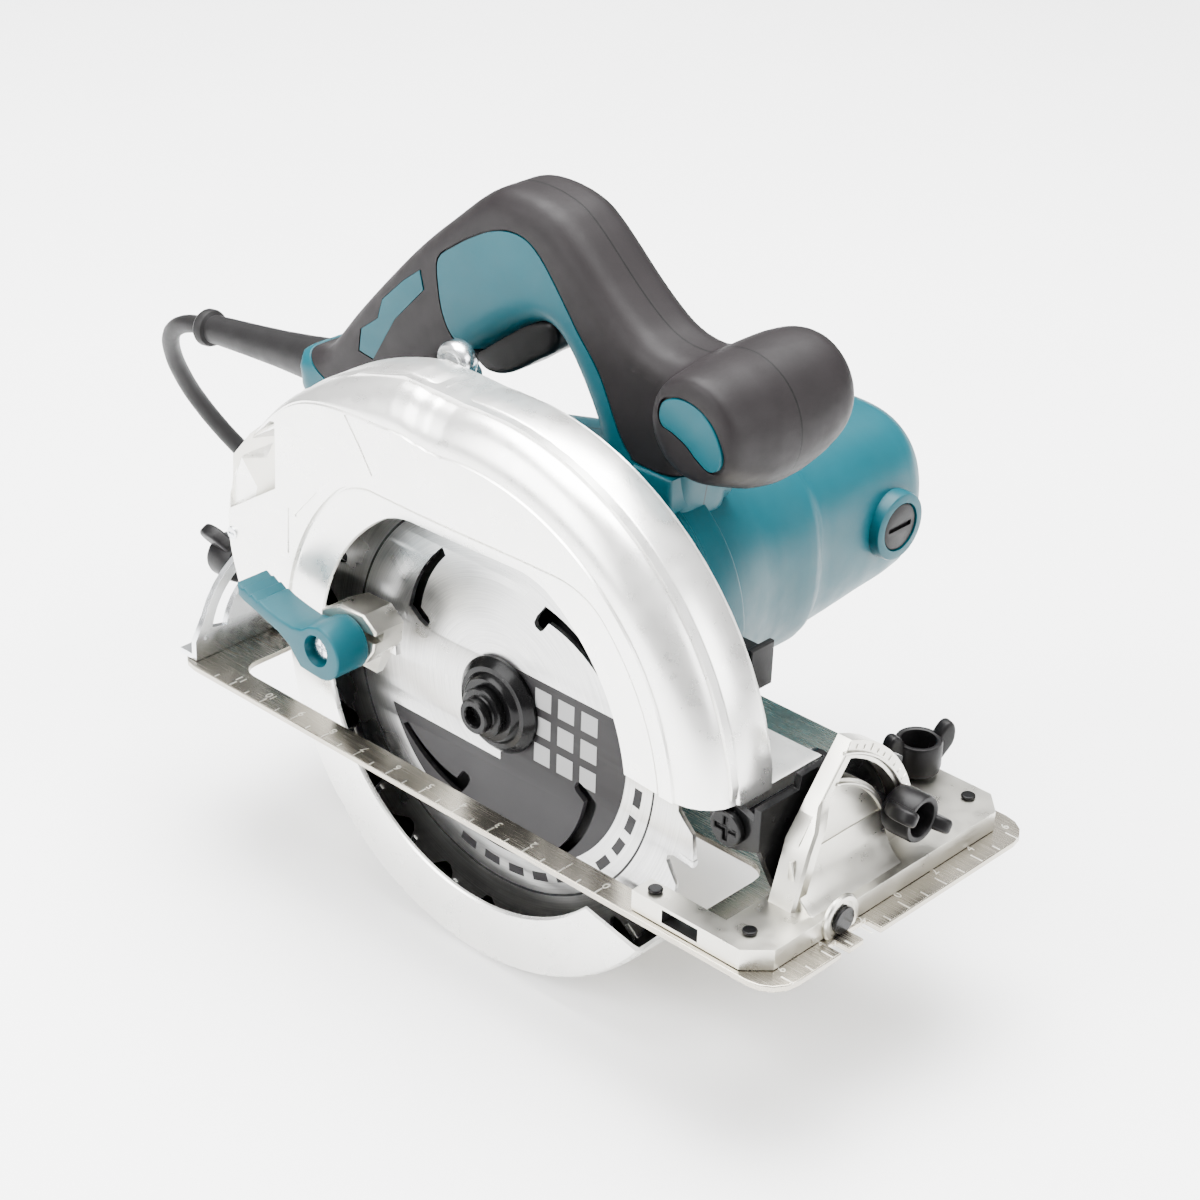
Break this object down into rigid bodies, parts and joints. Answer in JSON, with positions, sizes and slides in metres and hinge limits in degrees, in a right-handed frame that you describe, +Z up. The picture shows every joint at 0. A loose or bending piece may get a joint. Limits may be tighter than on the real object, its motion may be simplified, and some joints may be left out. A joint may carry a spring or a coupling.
{
  "type": "circular saw",
  "caption": "Hand-held circular saw with a guarded blade, a tilting and height-setting shoe, a D-shaped rear grip, a front grip and a mains lead.",
  "frame": {"origin": "on the underside of the shoe, half way across it, straight below the blade's axis", "axes": "+X forward along the cut, +Y towards the motor, +Z up"},
  "size_m": [0.4245, 0.2581, 0.2655],
  "materials": {
    "shoe_steel": "brushed along its length",
    "casting": "satin die casting",
    "zinc": "bright zinc plate",
    "black_steel": "black oxide",
    "black_plastic": "matte",
    "teal_plastic": "fine grain",
    "rubber_grip": "soft grain",
    "blade_steel": "ground in rings",
    "shaft_steel": "ground",
    "copper": "turned",
    "laminations": "stacked sheet",
    "brass": "drawn",
    "carbon": "pressed carbon",
    "cord": "matte"
  },
  "bodies": {
    "shoe": {"shoe_plate": "shoe_steel", "front_casting": "casting", "rear_bevel_plate": "zinc", "rivet_front_arm": "black_steel", "rivet_front_corner": "black_steel", "rivet_front_far": "black_steel", "rivet_rear": "black_steel"},
    "rule_bolt": {"rule_wing_bolt": "black_plastic"},
    "bevel_carrier": {"front_bracket": "black_steel", "depth_guide": "zinc", "bevel_pin_front": "zinc", "bevel_pin_rear": "zinc", "depth_pivot_pin": "black_steel"},
    "front_bevel_bolt": {"bevel_wing_bolt_front": "black_plastic"},
    "rear_bevel_bolt": {"bevel_wing_bolt_rear": "black_plastic"},
    "saw_body": {"blade_case": "casting", "gear_housing": "casting", "motor_housing": "teal_plastic", "stator": "laminations", "brush_holder_front": "brass", "brush_holder_rear": "brass", "brush_front": "carbon", "brush_rear": "carbon", "brush_cap_front": "black_plastic", "brush_cap_rear": "black_plastic", "bearing_spindle_front": "shaft_steel", "bearing_spindle_rear": "shaft_steel", "bearing_armature_front": "shaft_steel", "bearing_armature_rear": "shaft_steel", "handle_shell_left": "teal_plastic", "handle_shell_right": "teal_plastic", "handle_screw_1": "black_steel", "handle_screw_2": "black_steel", "grip_overmould": "rubber_grip", "front_grip": "rubber_grip", "trigger_switch": "black_plastic", "guard_spring": "shaft_steel", "cord_guard": "rubber_grip", "power_cord": "cord", "cord_coil": "cord", "plug": "cord"},
    "depth_clamp": {"depth_clamp_bolt": "zinc", "depth_lever": "black_plastic"},
    "trigger": {"trigger": "black_plastic"},
    "lock_off": {"lock_off_button": "black_plastic"},
    "shaft_lock": {"shaft_lock": "black_plastic"},
    "spindle": {"spindle": "shaft_steel", "drive_wheel": "shaft_steel", "inner_flange": "black_steel", "blade": "blade_steel", "outer_flange": "black_steel", "blade_bolt": "black_steel"},
    "armature": {"armature_shaft": "shaft_steel", "armature_core": "laminations", "commutator": "copper", "cooling_fan": "black_plastic"},
    "lower_guard": {"lower_guard": "casting", "retracting_lever": "teal_plastic", "lever_screw": "black_steel"}
  },
  "joints": [
    {"name": "bevel_tilt", "type": "hinge", "parent": "shoe", "child": "bevel_carrier", "pos_m": [0, -0.027, 0.0075], "axis": [1, 0, 0], "range_deg": [0, 45]},
    {"name": "depth_swing", "type": "hinge", "parent": "bevel_carrier", "child": "saw_body", "pos_m": [0.111, -0.02, 0.034], "axis": [0, 1, 0], "range_deg": [0, 32]},
    {"name": "rule_bolt_turn", "type": "hinge", "parent": "shoe", "child": "rule_bolt", "pos_m": [0.111, 0.058, 0.02], "axis": [0, 0, 1], "range_deg": [0, 360]},
    {"name": "front_bevel_bolt_turn", "type": "hinge", "parent": "bevel_carrier", "child": "front_bevel_bolt", "pos_m": [0.14, 0.01658, 0.02511], "axis": [1, 0, 0], "range_deg": [0, 360]},
    {"name": "rear_bevel_bolt_turn", "type": "hinge", "parent": "bevel_carrier", "child": "rear_bevel_bolt", "pos_m": [-0.14, -0.03971, 0.03357], "axis": [1, 0, 0], "range_deg": [0, 360]},
    {"name": "depth_lever_turn", "type": "hinge", "parent": "saw_body", "child": "depth_clamp", "pos_m": [-0.07474, -0.01, 0.02427], "axis": [0, 1, 0], "range_deg": [0, 60]},
    {"name": "trigger_squeeze", "type": "slide", "parent": "saw_body", "child": "trigger", "axis": [-0.5315, 0, 0.8471], "range_m": [0, 0.006], "stiffness_N_per_m": 900, "springref_m": -0.002},
    {"name": "lock_off_press", "type": "slide", "parent": "saw_body", "child": "lock_off", "axis": [0, -1, 0], "range_m": [0, 0.003], "stiffness_N_per_m": 700, "springref_m": -0.0015},
    {"name": "shaft_lock_press", "type": "slide", "parent": "saw_body", "child": "shaft_lock", "axis": [-1, 0, 0], "range_m": [0, 0.004], "stiffness_N_per_m": 700, "springref_m": -0.0015},
    {"name": "blade_spin", "type": "hinge", "parent": "saw_body", "child": "spindle", "pos_m": [0, -0.037, 0.03], "axis": [0, 1, 0], "continuous": true},
    {"name": "armature_spin", "type": "hinge", "parent": "saw_body", "child": "armature", "pos_m": [0.004, 0.05, 0.0583], "axis": [0, 1, 0], "continuous": true},
    {"name": "lower_guard_swing", "type": "hinge", "parent": "saw_body", "child": "lower_guard", "pos_m": [0, -0.04, 0.03], "axis": [0, 1, 0], "range_deg": [0, 110], "stiffness_Nm_per_rad": 0.2, "springref_deg": -171.89}
  ],
  "couplings": [
    {"joint": "armature_spin", "follows": "blade_spin", "ratio": -4.2}
  ]
}
